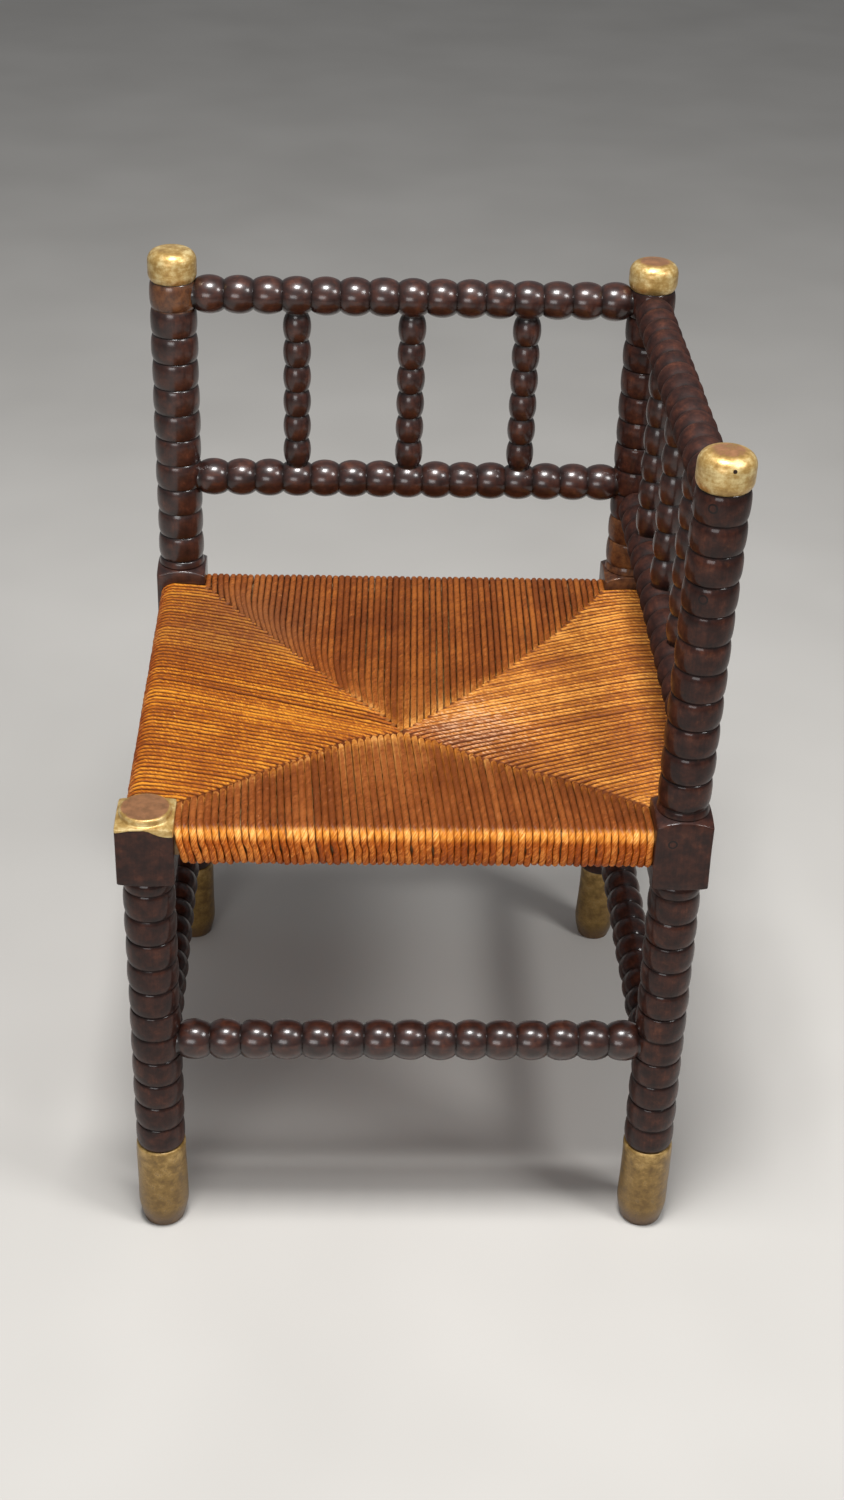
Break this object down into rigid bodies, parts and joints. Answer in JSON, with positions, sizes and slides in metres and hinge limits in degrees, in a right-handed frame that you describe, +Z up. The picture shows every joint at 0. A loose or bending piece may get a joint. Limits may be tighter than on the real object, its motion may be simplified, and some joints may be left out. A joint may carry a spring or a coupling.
{
  "type": "corner chair",
  "caption": "Low bobbin-turned corner chair with spindle backs on two adjoining sides, a woven rush seat, gilded finials and feet, and a box of turned stretchers.",
  "frame": {"origin": "on the floor, midway between the four posts", "axes": "+X to the right and +Y to the back, seen by someone who faces the front edge of the seat; +Z up"},
  "size_m": [0.441, 0.435, 0.6955],
  "materials": {
    "turned_wood": "dark stain under glossy varnish, worn at the edges",
    "gilding": "gold bronze paint on wood, rubbed and crackled",
    "bare_wood": "sawn, unfinished",
    "rush": "twisted rush cord, varnished amber",
    "packing": "dry loose rush"
  },
  "bodies": {
    "root": {"back_left_post": "turned_wood", "back_right_post": "turned_wood", "front_right_post": "turned_wood", "front_left_leg": "turned_wood", "rear_top_rail": "turned_wood", "rear_mid_rail": "turned_wood", "side_top_rail": "turned_wood", "side_mid_rail": "turned_wood", "rear_spindle_left": "turned_wood", "rear_spindle_middle": "turned_wood", "rear_spindle_right": "turned_wood", "side_spindle_front": "turned_wood", "side_spindle_middle": "turned_wood", "side_spindle_rear": "turned_wood", "front_stretcher": "turned_wood", "rear_stretcher": "turned_wood", "left_stretcher": "turned_wood", "right_stretcher": "turned_wood", "front_seat_rail": "bare_wood", "rear_seat_rail": "bare_wood", "left_seat_rail": "bare_wood", "right_seat_rail": "bare_wood", "rush_seat": "rush", "seat_packing": "packing"}
  },
  "joints": []
}
